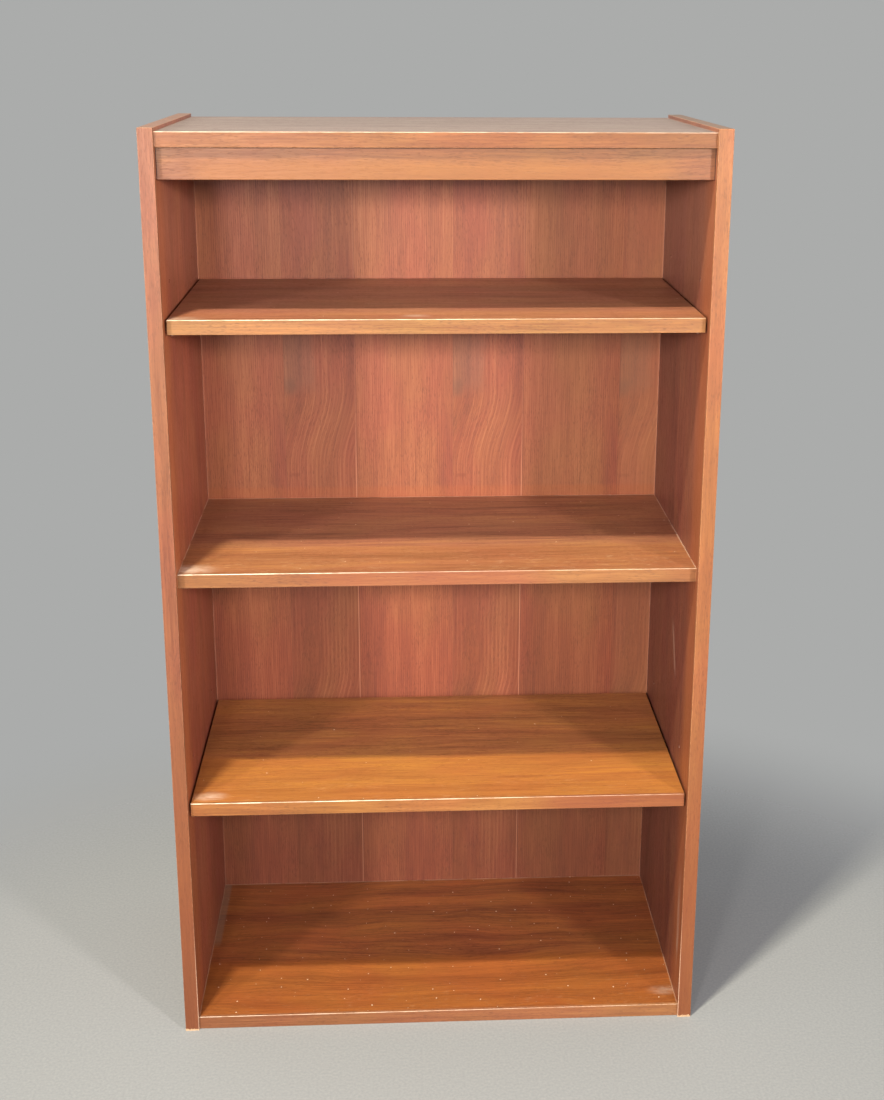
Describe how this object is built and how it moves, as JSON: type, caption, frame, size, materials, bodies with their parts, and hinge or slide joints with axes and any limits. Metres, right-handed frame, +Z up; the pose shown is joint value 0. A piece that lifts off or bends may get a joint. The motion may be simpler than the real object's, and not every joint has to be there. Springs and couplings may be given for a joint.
{
  "type": "bookcase",
  "caption": "Open-fronted bookcase with full-height sides, an inset top over a recessed rail, a fixed middle shelf, a bottom at floor level and loose shelves on pin supports.",
  "frame": {"origin": "middle of the footprint, on the floor", "axes": "+Z up, -Y out of the open front, +X to the right of someone who faces the front"},
  "size_m": [0.762, 0.381, 1.321],
  "materials": {
    "side_veneer": "oiled straight-grained reddish brown veneer, grain upright",
    "shelf_veneer": "oiled reddish brown veneer, grain along the shelf",
    "back_veneer": "thin veneered ply, slip-matched leaves with the grain upright",
    "solid_edging": "oiled solid wood, paler and more orange than the veneer, worn pale on the arrises",
    "beech": "bare turned beech",
    "nickel_plated_steel": "bright nickel plate on bent steel",
    "zinc_plated_steel": "zinc plate"
  },
  "bodies": {
    "carcass": {"side_panel_left": "side_veneer", "side_panel_right": "side_veneer", "side_lipping_left": "solid_edging", "side_lipping_right": "solid_edging", "top_panel": "shelf_veneer", "top_lipping": "solid_edging", "fascia_rail": "solid_edging", "fixed_shelf": "shelf_veneer", "fixed_shelf_lipping": "solid_edging", "bottom_panel": "shelf_veneer", "bottom_lipping": "solid_edging", "back_panel": "back_veneer", "back_screws": "zinc_plated_steel", "top_dowels": "beech", "rail_dowels": "beech", "fixed_shelf_dowels": "beech", "bottom_dowels": "beech"},
    "upper_shelf": {"upper_shelf": "shelf_veneer", "upper_shelf_lipping": "solid_edging"},
    "lower_shelf": {"lower_shelf": "shelf_veneer", "lower_shelf_lipping": "solid_edging"},
    "upper_support_front_left": {"upper_support_front_left": "nickel_plated_steel"},
    "upper_support_front_right": {"upper_support_front_right": "nickel_plated_steel"},
    "upper_support_back_left": {"upper_support_back_left": "nickel_plated_steel"},
    "upper_support_back_right": {"upper_support_back_right": "nickel_plated_steel"},
    "lower_support_front_left": {"lower_support_front_left": "nickel_plated_steel"},
    "lower_support_front_right": {"lower_support_front_right": "nickel_plated_steel"},
    "lower_support_back_left": {"lower_support_back_left": "nickel_plated_steel"},
    "lower_support_back_right": {"lower_support_back_right": "nickel_plated_steel"}
  },
  "joints": [
    {"name": "upper_shelf_lift", "type": "slide", "parent": "carcass", "child": "upper_shelf", "axis": [0, 0, 1], "range_m": [0, 0.07]},
    {"name": "lower_shelf_lift", "type": "slide", "parent": "carcass", "child": "lower_shelf", "axis": [0, 0, 1], "range_m": [0, 0.07]},
    {"name": "upper_support_front_left_pull", "type": "slide", "parent": "carcass", "child": "upper_support_front_left", "axis": [1, 0, 0], "range_m": [0, 0.012]},
    {"name": "upper_support_front_right_pull", "type": "slide", "parent": "carcass", "child": "upper_support_front_right", "axis": [-1, 0, 0], "range_m": [0, 0.012]},
    {"name": "upper_support_back_left_pull", "type": "slide", "parent": "carcass", "child": "upper_support_back_left", "axis": [1, 0, 0], "range_m": [0, 0.012]},
    {"name": "upper_support_back_right_pull", "type": "slide", "parent": "carcass", "child": "upper_support_back_right", "axis": [-1, 0, 0], "range_m": [0, 0.012]},
    {"name": "lower_support_front_left_pull", "type": "slide", "parent": "carcass", "child": "lower_support_front_left", "axis": [1, 0, 0], "range_m": [0, 0.012]},
    {"name": "lower_support_front_right_pull", "type": "slide", "parent": "carcass", "child": "lower_support_front_right", "axis": [-1, 0, 0], "range_m": [0, 0.012]},
    {"name": "lower_support_back_left_pull", "type": "slide", "parent": "carcass", "child": "lower_support_back_left", "axis": [1, 0, 0], "range_m": [0, 0.012]},
    {"name": "lower_support_back_right_pull", "type": "slide", "parent": "carcass", "child": "lower_support_back_right", "axis": [-1, 0, 0], "range_m": [0, 0.012]}
  ]
}
